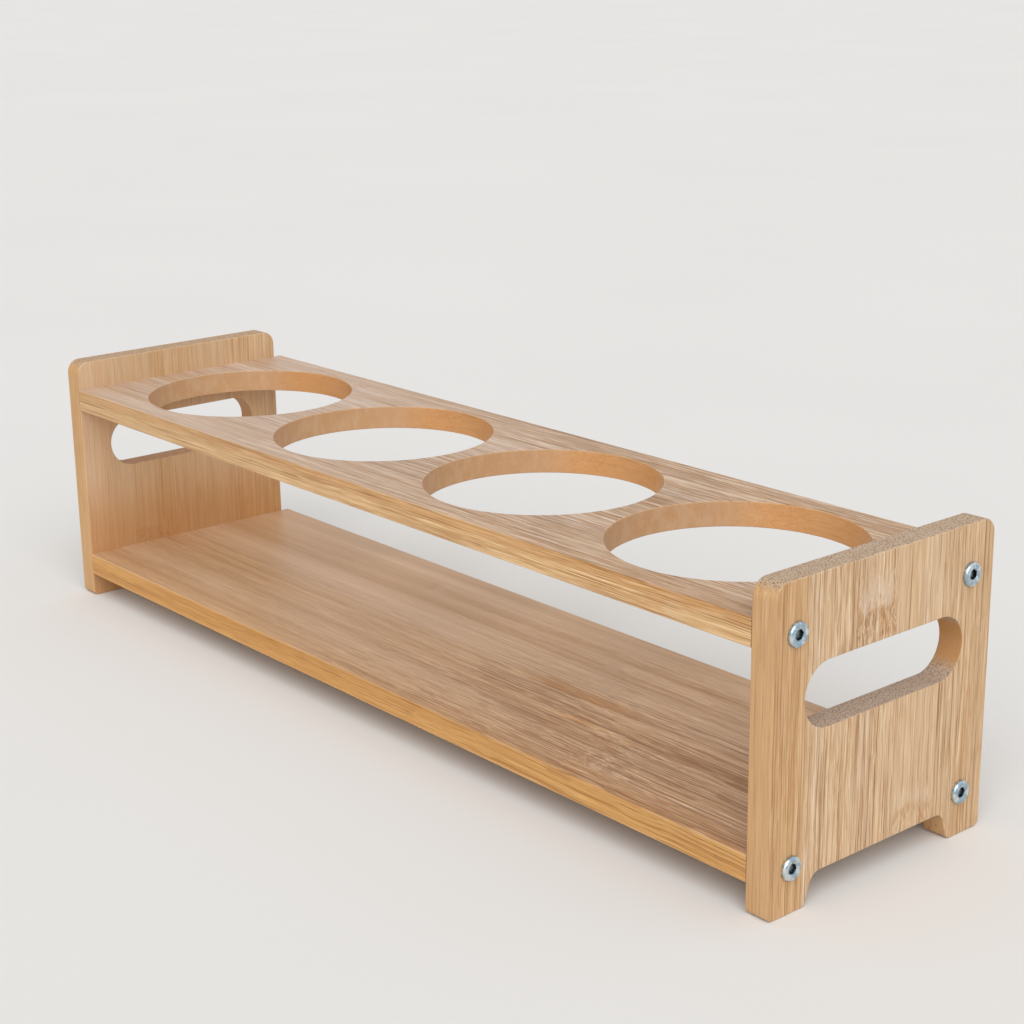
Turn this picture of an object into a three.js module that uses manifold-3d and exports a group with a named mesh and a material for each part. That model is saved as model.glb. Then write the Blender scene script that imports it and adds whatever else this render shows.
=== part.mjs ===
// Bamboo rack for a row of oil bottles: two end panels, a holed top board, a bottom shelf and the screws.
// Millimetres, +Z up. X runs along the row of bottles, the front long edge is on -Y, and the origin is
// on the ground under the middle of the boards.
import * as THREE from 'three';
import { mergeVertices } from 'three/addons/utils/BufferGeometryUtils.js';
import Module from 'manifold-3d';

// Bottle holes, which set the length and depth of the boards
const BOTTLE_COUNT = 4;
const BOTTLE_HOLE_DIAMETER = 94;
const WEB_BETWEEN_HOLES = 9.5;
const MARGIN_AT_BOARD_ENDS = 12.75;
const MARGIN_AT_BOARD_SIDES = 10;
const HOLE_EDGE_EASE = 0.4;

// Boards
const BOARD_THICKNESS = 10;
const BOARD_EDGE_ROUND = 0.6;
const SHELF_GROUND_CLEARANCE = 11;
const SPACE_BETWEEN_BOARDS = 71;

// End panels, flush with the boards in front
const PANEL_THICKNESS = 10;
const PANEL_RISE_ABOVE_BOARD = 13;
const BOARD_OVERHANG_BEHIND_PANEL = 4;
const PANEL_CORNER_RADIUS = 6;
const PANEL_EDGE_ROUND = 0.6;

// Hand slot, a stadium with full round ends
const SLOT_LENGTH = 80;
const SLOT_HEIGHT = 23;
const SLOT_BELOW_BOTTLE_BOARD = 7.5;
const SLOT_EDGE_EASE = 0.4;

// Feet, left standing by an arch whose sides lean inward as they rise
const ARCH_HEIGHT = 11;
const FOOT_WIDTH_ON_GROUND = 17.75;
const FOOT_SPLAY = 3.5;
const FOOT_CORNER_RADIUS = 2.5;
const ARCH_CORNER_RADIUS = 5;

// Screws
const SCREW_DIAMETER = 5;
const SCREW_LENGTH = 30;
const SCREW_TIP_LENGTH = 5;
const SCREW_TIP_DIAMETER = 1.6;
const SCREW_HEAD_DIAMETER = 9.5;
const SCREW_HEAD_HEIGHT = 2;
const SCREW_HEAD_RIM = 0.9;
const SCREW_HEAD_FLAT_DIAMETER = 7.2;
const SOCKET_SIDES = 6;
const SOCKET_ACROSS_FLATS = 3.5;
const SOCKET_DEPTH = 1.8;
const SCREW_FROM_PANEL_FRONT = 10;
const SCREW_FROM_PANEL_BACK = 12.5;
const SHELF_SCREW_ABOVE_MIDDLE = 0.8;
const SCREW_CLEARANCE = 0.3;

// Looks
const PANEL_COLOUR = 0xcda06a;
const BOTTLE_BOARD_COLOUR = 0xc69c72;
const SHELF_COLOUR = 0xbd8f60;
const BAMBOO_ROUGHNESS = 0.55;
const ZINC_COLOUR = 0xb9c3c9;
const ZINC_ROUGHNESS = 0.3;

// Facets
const CORNER_FACETS = 4;
const SLOT_END_FACETS = 10;
const HOLE_FACETS = 64;
const SCREW_FACETS = 20;
const ROUND_FACETS = 3;
const CUT_OVERRUN = 5;
const WELD_DISTANCE = 1e-4;

// Sizes and places that follow
const holePitch = BOTTLE_HOLE_DIAMETER + WEB_BETWEEN_HOLES;
const boardLength = (BOTTLE_COUNT - 1) * holePitch + BOTTLE_HOLE_DIAMETER + 2 * MARGIN_AT_BOARD_ENDS;
const boardDepth = BOTTLE_HOLE_DIAMETER + 2 * MARGIN_AT_BOARD_SIDES;
const shelfBottom = SHELF_GROUND_CLEARANCE;
const bottleBoardBottom = shelfBottom + BOARD_THICKNESS + SPACE_BETWEEN_BOARDS;
const panelDepth = boardDepth - BOARD_OVERHANG_BEHIND_PANEL;
const panelHeight = bottleBoardBottom + BOARD_THICKNESS + PANEL_RISE_ABOVE_BOARD;
const panelFront = -boardDepth / 2;
const panelBack = panelFront + panelDepth;
const panelMiddle = (panelFront + panelBack) / 2;
const slotMiddle = bottleBoardBottom - SLOT_BELOW_BOTTLE_BOARD - SLOT_HEIGHT / 2;
const screwBore = SCREW_DIAMETER / 2 + SCREW_CLEARANCE;
const pilotDepth = SCREW_LENGTH - PANEL_THICKNESS + SCREW_CLEARANCE;
const screwRows = [
  { name: 'front', y: panelFront + SCREW_FROM_PANEL_FRONT },
  { name: 'back', y: panelBack - SCREW_FROM_PANEL_BACK },
];
const boardScrewHeight = BOARD_THICKNESS / 2;
const shelfScrewHeight = BOARD_THICKNESS / 2 + SHELF_SCREW_ABOVE_MIDDLE;
const screwLevels = [
  { name: 'top', z: bottleBoardBottom + boardScrewHeight },
  { name: 'bottom', z: shelfBottom + shelfScrewHeight },
];

const wasm = await Module();
wasm.setup();

// Solids: closed geometry in, cut or joined geometry out
function toSolid(geometry) {
  const bare = geometry.clone();
  bare.deleteAttribute('normal');
  bare.deleteAttribute('uv');
  const welded = mergeVertices(bare, WELD_DISTANCE);
  const corners = welded.index.array;
  const kept = [];
  for (let i = 0; i < corners.length; i += 3) {
    const [a, b, c] = [corners[i], corners[i + 1], corners[i + 2]];
    if (a !== b && b !== c && c !== a) {
      kept.push(a, b, c);
    }
  }
  const mesh = new wasm.Mesh({
    numProp: 3,
    vertProperties: new Float32Array(welded.attributes.position.array),
    triVerts: new Uint32Array(kept),
  });
  return new wasm.Manifold(mesh);
}

function toGeometry(solid) {
  const mesh = solid.getMesh();
  const geometry = new THREE.BufferGeometry();
  geometry.setAttribute('position', new THREE.BufferAttribute(mesh.vertProperties, 3));
  geometry.setIndex(new THREE.BufferAttribute(mesh.triVerts, 1));
  geometry.computeVertexNormals();
  return geometry;
}

function cutAway(body, cutters) {
  return cutters.reduce((solid, cutter) => solid.subtract(toSolid(cutter)), toSolid(body));
}

// Outline through the given corners, each rounded by an arc of its own radius
function roundedOutline(corners) {
  const outline = new THREE.Shape();
  corners.forEach(({ x, y, radius }, i) => {
    const corner = new THREE.Vector2(x, y);
    const before = corners[(i + corners.length - 1) % corners.length];
    const after = corners[(i + 1) % corners.length];
    const back = new THREE.Vector2(before.x, before.y).sub(corner).normalize();
    const ahead = new THREE.Vector2(after.x, after.y).sub(corner).normalize();
    const halfAngle = Math.acos(back.dot(ahead)) / 2;
    const start = corner.clone().addScaledVector(back, radius / Math.tan(halfAngle));
    const bisector = back.clone().add(ahead).normalize();
    const centre = corner.clone().addScaledVector(bisector, radius / Math.sin(halfAngle));
    const end = corner.clone().addScaledVector(ahead, radius / Math.tan(halfAngle));
    const turnsRight = back.cross(ahead) > 0;
    const from = start.clone().sub(centre).angle();
    const to = end.clone().sub(centre).angle();
    outline.absarc(centre.x, centre.y, radius, from, to, turnsRight);
  });
  outline.closePath();
  return outline;
}

// Plate of a given thickness whose long edges are rounded over
function roundedPlate(outline, thickness, edgeRound) {
  return new THREE.ExtrudeGeometry(outline, {
    depth: thickness - 2 * edgeRound,
    curveSegments: CORNER_FACETS,
    bevelThickness: edgeRound,
    bevelSize: edgeRound,
    bevelOffset: -edgeRound,
    bevelSegments: ROUND_FACETS,
  }).translate(0, 0, edgeRound);
}

// Turns a plate drawn in local X and Y to stand across the rack, its thickness along X
function standAcross(geometry) {
  const turn = new THREE.Matrix4().makeBasis(
    new THREE.Vector3(0, 1, 0),
    new THREE.Vector3(0, 0, 1),
    new THREE.Vector3(1, 0, 0),
  );
  return geometry.applyMatrix4(turn);
}

// Round cutter along X, from one end to the other
function boreAlongX(radius, fromX, toX, y, z) {
  return new THREE.CylinderGeometry(radius, radius, toX - fromX, SCREW_FACETS)
    .rotateZ(Math.PI / 2)
    .translate((fromX + toX) / 2, y, z);
}

// Materials
function bamboo(colour) {
  return new THREE.MeshStandardMaterial({ color: colour, roughness: BAMBOO_ROUGHNESS, metalness: 0 });
}

function zincPlate() {
  return new THREE.MeshStandardMaterial({ color: ZINC_COLOUR, roughness: ZINC_ROUGHNESS, metalness: 1 });
}

// End panel, drawn with its inner face on X = 0
function panelOutline() {
  const archHalf = panelDepth / 2 - FOOT_WIDTH_ON_GROUND;
  const archTopHalf = archHalf - FOOT_SPLAY;
  return roundedOutline([
    { x: -panelDepth / 2, y: 0, radius: FOOT_CORNER_RADIUS },
    { x: -archHalf, y: 0, radius: FOOT_CORNER_RADIUS },
    { x: -archTopHalf, y: ARCH_HEIGHT, radius: ARCH_CORNER_RADIUS },
    { x: archTopHalf, y: ARCH_HEIGHT, radius: ARCH_CORNER_RADIUS },
    { x: archHalf, y: 0, radius: FOOT_CORNER_RADIUS },
    { x: panelDepth / 2, y: 0, radius: FOOT_CORNER_RADIUS },
    { x: panelDepth / 2, y: panelHeight, radius: PANEL_CORNER_RADIUS },
    { x: -panelDepth / 2, y: panelHeight, radius: PANEL_CORNER_RADIUS },
  ]);
}

// Cutters for the hand slot: one straight through, and one that eases its rim at each face
function handSlot() {
  const radius = SLOT_HEIGHT / 2;
  const reach = SLOT_LENGTH / 2 - radius;
  const stadium = new THREE.Shape();
  stadium.absarc(reach, slotMiddle, radius, -Math.PI / 2, Math.PI / 2, false);
  stadium.absarc(-reach, slotMiddle, radius, Math.PI / 2, (3 * Math.PI) / 2, false);
  stadium.closePath();
  const through = new THREE.ExtrudeGeometry(stadium, {
    depth: PANEL_THICKNESS + 2 * CUT_OVERRUN,
    curveSegments: SLOT_END_FACETS,
    bevelEnabled: false,
  }).translate(0, 0, -CUT_OVERRUN);
  const rims = [-CUT_OVERRUN, PANEL_THICKNESS].map((start) => new THREE.ExtrudeGeometry(stadium, {
    depth: CUT_OVERRUN,
    curveSegments: SLOT_END_FACETS,
    bevelThickness: SLOT_EDGE_EASE,
    bevelSize: SLOT_EDGE_EASE,
    bevelSegments: 1,
  }).translate(0, 0, start));
  return [through, ...rims];
}

function endPanel() {
  const plate = standAcross(roundedPlate(panelOutline(), PANEL_THICKNESS, PANEL_EDGE_ROUND));
  const slot = handSlot().map(standAcross);
  const bores = screwLevels.flatMap(({ z }) => screwRows.map(({ y }) => boreAlongX(
    screwBore,
    -CUT_OVERRUN,
    PANEL_THICKNESS + CUT_OVERRUN,
    y - panelMiddle,
    z,
  )));
  return toGeometry(cutAway(plate, [...slot, ...bores]));
}

// Boards, drawn with their underside on Z = 0: long edges rounded, ends cut square to butt against the panels
function boardStock() {
  const half = boardDepth / 2;
  const section = roundedOutline([
    { x: -half, y: 0, radius: BOARD_EDGE_ROUND },
    { x: half, y: 0, radius: BOARD_EDGE_ROUND },
    { x: half, y: BOARD_THICKNESS, radius: BOARD_EDGE_ROUND },
    { x: -half, y: BOARD_THICKNESS, radius: BOARD_EDGE_ROUND },
  ]);
  const bar = new THREE.ExtrudeGeometry(section, {
    depth: boardLength,
    curveSegments: ROUND_FACETS,
    bevelEnabled: false,
  });
  return standAcross(bar).translate(-boardLength / 2, 0, 0);
}

function pilotHoles(height) {
  return [-1, 1].flatMap((side) => screwRows.map(({ y }) => {
    const mouth = side * (boardLength / 2 + CUT_OVERRUN);
    const bottom = side * (boardLength / 2 - pilotDepth);
    return boreAlongX(screwBore, Math.min(mouth, bottom), Math.max(mouth, bottom), y, height);
  }));
}

function bottleHole(index) {
  const radius = BOTTLE_HOLE_DIAMETER / 2;
  const wide = radius + HOLE_EDGE_EASE;
  const profile = [
    [0, -CUT_OVERRUN],
    [wide, -CUT_OVERRUN],
    [wide, 0],
    [radius, HOLE_EDGE_EASE],
    [radius, BOARD_THICKNESS - HOLE_EDGE_EASE],
    [wide, BOARD_THICKNESS],
    [wide, BOARD_THICKNESS + CUT_OVERRUN],
    [0, BOARD_THICKNESS + CUT_OVERRUN],
  ].map(([r, z]) => new THREE.Vector2(r, z));
  return new THREE.LatheGeometry(profile, HOLE_FACETS)
    .rotateX(Math.PI / 2)
    .translate((index - (BOTTLE_COUNT - 1) / 2) * holePitch, 0, 0);
}

function bottleBoard() {
  const holes = Array.from({ length: BOTTLE_COUNT }, (_, index) => bottleHole(index));
  return toGeometry(cutAway(boardStock(), [...holes, ...pilotHoles(boardScrewHeight)]));
}

function bottomShelf() {
  return toGeometry(cutAway(boardStock(), pilotHoles(shelfScrewHeight)));
}

// Screw, drawn along local Y with the underside of its head on Y = 0 and its tip on -Y
function screwBody() {
  const flat = SCREW_HEAD_FLAT_DIAMETER / 2;
  const dome = SCREW_HEAD_DIAMETER / 2 - flat;
  const crown = SCREW_HEAD_HEIGHT - SCREW_HEAD_RIM;
  const profile = [
    [0, -SCREW_LENGTH],
    [SCREW_TIP_DIAMETER / 2, -SCREW_LENGTH],
    [SCREW_DIAMETER / 2, -SCREW_LENGTH + SCREW_TIP_LENGTH],
    [SCREW_DIAMETER / 2, 0],
    [SCREW_HEAD_DIAMETER / 2, 0],
  ];
  for (let step = 0; step <= ROUND_FACETS; step += 1) {
    const angle = (step / ROUND_FACETS) * (Math.PI / 2);
    profile.push([flat + dome * Math.cos(angle), SCREW_HEAD_RIM + crown * Math.sin(angle)]);
  }
  profile.push([0, SCREW_HEAD_HEIGHT]);
  return new THREE.LatheGeometry(profile.map(([r, y]) => new THREE.Vector2(r, y)), SCREW_FACETS);
}

function hexSocket() {
  const cornerRadius = SOCKET_ACROSS_FLATS / 2 / Math.cos(Math.PI / SOCKET_SIDES);
  const depth = SOCKET_DEPTH + CUT_OVERRUN;
  return new THREE.CylinderGeometry(cornerRadius, cornerRadius, depth, SOCKET_SIDES)
    .translate(0, SCREW_HEAD_HEIGHT - SOCKET_DEPTH + depth / 2, 0);
}

function screw() {
  return toGeometry(cutAway(screwBody(), [hexSocket()]));
}

// Assembly
function place(parent, name, geometry, material, position) {
  const mesh = new THREE.Mesh(geometry, material);
  mesh.name = name;
  mesh.position.set(...position);
  parent.add(mesh);
  return mesh;
}

const rack = new THREE.Group();
const panelGeometry = endPanel();
const screwGeometry = screw();
const ends = [
  { name: 'left', side: -1, panelX: -boardLength / 2 - PANEL_THICKNESS },
  { name: 'right', side: 1, panelX: boardLength / 2 },
];

for (const { name, side, panelX } of ends) {
  place(rack, `${name}_end_panel`, panelGeometry, bamboo(PANEL_COLOUR), [panelX, panelMiddle, 0]);
  const headSeat = side * (boardLength / 2 + PANEL_THICKNESS);
  for (const level of screwLevels) {
    for (const row of screwRows) {
      const screwName = `screw_${name}_${level.name}_${row.name}`;
      const fitted = place(rack, screwName, screwGeometry, zincPlate(), [headSeat, row.y, level.z]);
      fitted.rotation.z = -side * (Math.PI / 2);
    }
  }
}
place(rack, 'bottle_board', bottleBoard(), bamboo(BOTTLE_BOARD_COLOUR), [0, 0, bottleBoardBottom]);
place(rack, 'bottom_shelf', bottomShelf(), bamboo(SHELF_COLOUR), [0, 0, shelfBottom]);

export default rack;
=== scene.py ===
"""Bamboo rack for a row of oil bottles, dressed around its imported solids: two end panels, a holed top board,
a bottom shelf and the screws that hold them. Metres, +Z up, X along the row of bottles, front on -Y."""
import math

import bmesh
import bpy
from bpy.props import FloatProperty, FloatVectorProperty, IntProperty, PointerProperty
from mathutils import Matrix, Vector


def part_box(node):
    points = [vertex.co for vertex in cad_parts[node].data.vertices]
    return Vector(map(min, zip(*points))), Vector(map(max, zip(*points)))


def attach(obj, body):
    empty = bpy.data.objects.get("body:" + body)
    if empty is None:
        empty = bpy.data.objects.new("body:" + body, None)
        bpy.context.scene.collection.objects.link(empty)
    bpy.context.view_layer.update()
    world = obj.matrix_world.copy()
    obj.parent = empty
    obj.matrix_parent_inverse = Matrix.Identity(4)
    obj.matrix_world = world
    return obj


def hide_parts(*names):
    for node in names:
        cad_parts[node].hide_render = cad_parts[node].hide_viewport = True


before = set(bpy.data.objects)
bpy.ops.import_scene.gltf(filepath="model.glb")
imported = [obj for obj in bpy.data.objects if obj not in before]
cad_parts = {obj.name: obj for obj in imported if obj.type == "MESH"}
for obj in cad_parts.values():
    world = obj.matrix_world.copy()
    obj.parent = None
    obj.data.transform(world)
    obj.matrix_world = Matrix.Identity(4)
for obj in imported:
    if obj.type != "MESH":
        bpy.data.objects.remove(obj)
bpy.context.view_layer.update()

bl_info = {
    "name": "Oil Bottle Rack",
    "version": (1, 0, 0),
    "blender": (4, 5, 0),
    "location": "View3D > Sidebar > Bottle Rack",
    "description": "Builds a screwed bamboo rack for oil bottles and its studio stage",
    "category": "Add Mesh",
}

MM = 0.001
QUARTER = math.pi / 2
PANELS = {"left": "left_end_panel", "right": "right_end_panel"}
BOTTLE_BOARD = "bottle_board"
BOTTOM_SHELF = "bottom_shelf"
LEVELS = ("top", "bottom")
ROWS = ("front", "back")
SCREWS = [f"screw_{end}_{level}_{row}" for end in PANELS for level in LEVELS for row in ROWS]

ARRIS_STEPS = 5
ARRIS_FADE = 0.3 * MM
# Arris mark: wear and a painted highlight, strongest in the middle of a rounded edge
LEAST_WEAR_AND_HIGHLIGHT = 0.35
CORNER_STEPS = 10
SLOT_END_STEPS = 28
HOLE_STEPS = 144
BORE_STEPS = 24


def length(name, description, millimetres):
    """A length that a user may change, kept in metres."""
    return FloatProperty(
        name=name, description=description, default=millimetres * MM, min=0.0, precision=4, unit="LENGTH")


def colour(name, description, default):
    """A colour that a user may change, scene linear."""
    return FloatVectorProperty(
        name=name, description=description, default=default, min=0.0, max=1.0, size=3, subtype="COLOR")


class RackPanelSettings(bpy.types.PropertyGroup):
    """Sizes of the end panels."""
    corner_radius: length("Top corner radius", "Radius of the panel's two top corners", 6)
    edge_round: length("Edge round", "Radius worked along the panel's edges", 0.6)
    slot_length: length("Slot length", "Hand slot from end to end", 80)
    slot_height: length("Slot height", "Height of the hand slot, also the width of its round ends", 23)
    slot_below_board: length("Slot below board", "Wood left between the bottle board and the slot", 7.5)
    slot_ease: length("Slot ease", "Radius sanded on the slot's rim", 0.4)
    arch_height: length("Arch height", "Height of the arch between the feet", 11)
    foot_width: length("Foot width", "Width of a foot on the ground", 17.75)
    foot_splay: length("Foot splay", "How far a foot's inner side leans in as it rises", 3.5)
    foot_radius: length("Foot radius", "Radius of a foot's corners", 2.5)
    arch_radius: length("Arch radius", "Radius in the arch's two upper corners", 5)


class RackBoardSettings(bpy.types.PropertyGroup):
    """Sizes of the bottle board and the shelf."""
    edge_round: length("Edge round", "Radius worked along a board's long edges", 0.6)
    hole_count: IntProperty(name="Bottle holes", description="Holes in the row", default=4, min=1, max=8)
    hole_diameter: length("Hole diameter", "Diameter of a bottle hole", 94)
    hole_web: length("Web between holes", "Wood left between two holes", 9.5)
    hole_ease: length("Hole ease", "Radius sanded on a hole's rim", 0.4)


class RackScrewSettings(bpy.types.PropertyGroup):
    """Sizes and colours of the hex-socket screws."""
    shank_diameter: length("Shank diameter", "Diameter over the threads", 5)
    core_diameter: length("Core diameter", "Diameter at the bottom of the threads", 3.6)
    thread_pitch: length("Thread pitch", "Rise of one turn of the thread", 2)
    plain_length: length("Plain length", "Shank without thread under the head", 9.5)
    tip_length: length("Tip length", "Tapered end of the screw", 5)
    bore_clearance: length("Bore clearance", "Room around the shank in its bore", 0.3)
    head_diameter: length("Head diameter", "Diameter of the head", 8.7)
    head_height: length("Head height", "Height of the head above the panel", 1.7)
    head_rim: length("Head rim", "Height of the straight rim under the head's dome", 0.7)
    flat_diameter: length("Head flat", "Diameter of the flat on the head", 6.6)
    socket_width: length("Socket width", "Hex socket across its flats", 3.4)
    socket_depth: length("Socket depth", "Depth of the hex socket", 1.4)
    zinc: colour("Zinc", "Colour of the zinc plate", (0.35, 0.48, 0.57))
    # Pale zinc: clouds on the plate, partly uneven plating and partly painted reflection
    zinc_pale: colour("Pale zinc", "Colour of the plate's pale clouds, partly painted reflection", (0.72, 0.77, 0.79))
    # Painted shade: the socket's colour stands in for the shade deep in its recess
    socket_shade: colour("Socket grime", "Painted shade deep in the socket", (0.03, 0.042, 0.045))


class RackBambooSettings(bpy.types.PropertyGroup):
    """Colours of the bamboo and the width of its strips."""
    strip_width: FloatProperty(
        name="Strip width", description="Width of one bamboo strip, in millimetres", default=22.5, min=4.0,
        max=60.0)
    peach: colour("Peach bamboo", "Warm bands of the bamboo", (0.655, 0.435, 0.238))
    beige: colour("Beige bamboo", "Cool pale bands of the bamboo", (0.68, 0.485, 0.304))
    tan: colour("Tan dash", "Short orange-brown bundles", (0.49, 0.19, 0.05))
    brown: colour("Brown fibre", "Thin dark bundles and glue lines", (0.24, 0.088, 0.014))
    blush: colour("Blush", "Pinkish wood above a knuckle", (0.69, 0.525, 0.385))
    stain: colour("Stain", "Ochre that a stain leaves of the wood's colour", (0.93, 0.77, 0.53))


class RackStageSettings(bpy.types.PropertyGroup):
    """Camera, floor and light."""
    eye: FloatVectorProperty(
        name="Camera place", description="Where the camera stands", default=(0.607528, -0.484343, 0.309176),
        size=3, subtype="TRANSLATION", precision=4)
    look: FloatVectorProperty(
        name="Camera direction", description="Where the camera looks", default=(-0.73281, 0.61746, -0.28590),
        size=3, subtype="DIRECTION", precision=5)
    roll: FloatProperty(
        name="Camera roll", description="Turn of the camera about its line of sight", default=-0.0136,
        subtype="ANGLE")
    lens: FloatProperty(
        name="Lens", description="Focal length on a 36 mm sensor", default=69.11, min=10.0, max=300.0)
    floor: colour("Floor", "Colour of the floor", (0.86, 0.85, 0.83))
    backdrop: colour("Backdrop", "Colour behind the floor", (0.84, 0.85, 0.87))
    sky: FloatProperty(
        name="Sky", description="Strength of the even light from all round", default=0.55, min=0.0)
    key: FloatProperty(name="Key", description="Strength of the soft lamp in front", default=1.8, min=0.0)


class RackSettings(bpy.types.PropertyGroup):
    """All settings of the rack."""
    panel: PointerProperty(type=RackPanelSettings)
    board: PointerProperty(type=RackBoardSettings)
    screw: PointerProperty(type=RackScrewSettings)
    bamboo: PointerProperty(type=RackBambooSettings)
    stage: PointerProperty(type=RackStageSettings)


# Outlines: lists of (point, way out of the wood), both flat

def arc(centre, radius, start, end, steps, outward=True):
    """Points on an arc, from one angle to the other, with the way out of the wood."""
    points = []
    for step in range(steps + 1):
        angle = start + (end - start) * step / steps
        away = Vector((math.cos(angle), math.sin(angle)))
        points.append((centre + away * radius, away if outward else -away))
    return points


def cornered_outline(corners, steps):
    """Closed outline through corners (a, b, radius) taken anticlockwise, each rounded by its own arc."""
    outline = []
    count = len(corners)
    for i, (a, b, radius) in enumerate(corners):
        corner = Vector((a, b))
        back = (Vector(corners[i - 1][:2]) - corner).normalized()
        ahead = (Vector(corners[(i + 1) % count][:2]) - corner).normalized()
        half_angle = back.angle(ahead) / 2
        centre = corner + (back + ahead).normalized() * (radius / math.sin(half_angle))
        first = corner + back * (radius / math.tan(half_angle)) - centre
        last = corner + ahead * (radius / math.tan(half_angle)) - centre
        start = math.atan2(first.y, first.x)
        turn = math.atan2(first.x * last.y - first.y * last.x, first.dot(last))
        outline += arc(centre, radius, start, start + turn, steps, outward=turn > 0)
    return outline


def circle_outline(centre, radius, steps):
    """Outline of a round hole."""
    return arc(Vector(centre), radius, 0.0, math.tau, steps, outward=False)[:-1]


def slot_outline(centre, slot_length, slot_height):
    """Outline of a slot with round ends."""
    radius = slot_height / 2
    reach = Vector((slot_length / 2 - radius, 0.0))
    middle = Vector(centre)
    right_end = arc(middle + reach, radius, -QUARTER, QUARTER, SLOT_END_STEPS, outward=False)
    left_end = arc(middle - reach, radius, QUARTER, 3 * QUARTER, SLOT_END_STEPS, outward=False)
    return right_end + left_end


# Pieces

def put_object(name, data):
    """A new object in the scene."""
    item = bpy.data.objects.new(name, data)
    bpy.context.scene.collection.objects.link(item)
    return item


def mount_piece(piece, node, material):
    """Rides a piece on the rack in place of its solid."""
    piece.data.materials.append(material)
    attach(piece, "root")
    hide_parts(node)


def arris_profile(radius, half):
    """Rings over one plate edge, from face to face: (inset, height, angle off the face, arris wear and painted
    highlight).
    """
    rings = [(radius + ARRIS_FADE, half, 0.0, 0.0)]
    for step in range(ARRIS_STEPS + 1):
        angle = QUARTER * step / ARRIS_STEPS
        inset = radius * (1 - math.sin(angle))
        height = half - radius * (1 - math.cos(angle))
        rings.append((inset, height, angle, LEAST_WEAR_AND_HIGHLIGHT + (1 - LEAST_WEAR_AND_HIGHLIGHT) * math.sin(2 * angle)))
    rings.append((0.0, half - radius - ARRIS_FADE, QUARTER, 0.0))
    mirrored = [(inset, -height, math.pi - angle, wear_and_highlight) for inset, height, angle, wear_and_highlight in reversed(rings)]
    return rings + mirrored


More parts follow.
